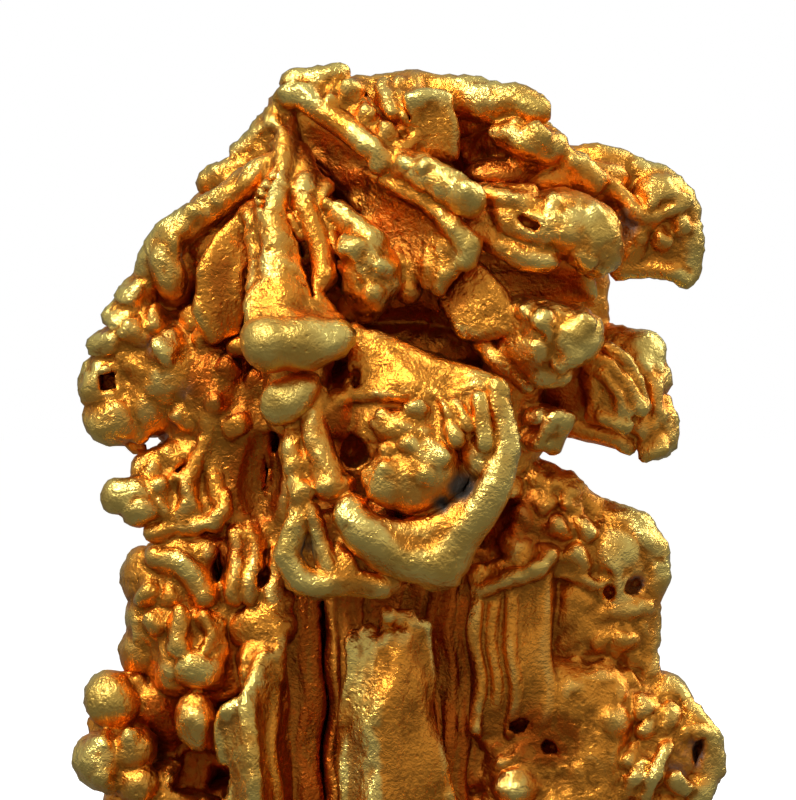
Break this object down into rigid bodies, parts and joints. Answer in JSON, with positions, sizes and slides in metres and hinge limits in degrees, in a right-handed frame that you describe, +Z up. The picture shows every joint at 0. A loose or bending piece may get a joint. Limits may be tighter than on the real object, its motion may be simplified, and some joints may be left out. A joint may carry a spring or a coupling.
{
  "type": "gold nugget",
  "caption": "crystalline native gold nugget, upright and rugged: a head of ribs, rounded knobs and slabs over a neck and a fluted, bladed body that stands on a worn lower end",
  "frame": {"origin": "middle of the bounding box in plan, on the level of the worn lower end that the nugget stands on", "axes": "+Z up through the head, +X to the right as the shown side is seen, -Y out of the shown side"},
  "size_m": [0.0132, 0.009, 0.0173],
  "materials": {
    "gold": "natural metal, worn smooth on the high spots and crinkled elsewhere"
  },
  "bodies": {
    "root": {"nugget": "gold"}
  },
  "joints": []
}
